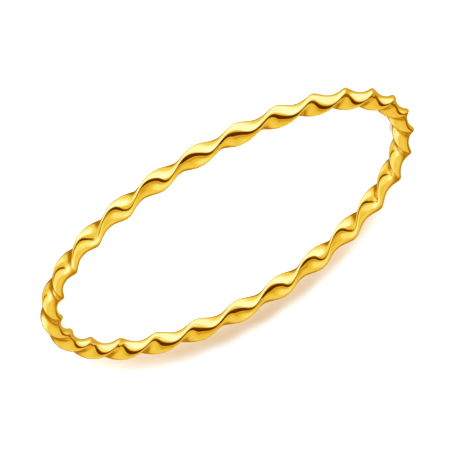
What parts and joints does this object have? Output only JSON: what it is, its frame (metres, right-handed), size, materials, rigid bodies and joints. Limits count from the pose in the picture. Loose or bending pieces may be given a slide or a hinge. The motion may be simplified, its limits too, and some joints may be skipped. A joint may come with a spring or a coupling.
{
  "type": "twisted wire bangle",
  "caption": "Slim round bangle: one flat oval bar, evenly twisted round its own axis and closed to a plain ring.",
  "frame": {"origin": "on the surface that the bangle rests on, under the middle of the ring", "axes": "+Z along the ring's axis, up from the surface; +X towards one of the two places where the ring touches it"},
  "size_m": [0.0648, 0.0647, 0.0045],
  "materials": {
    "gold": "high polish, rich yellow gold"
  },
  "bodies": {
    "root": {"twisted_bar": "gold"}
  },
  "joints": []
}
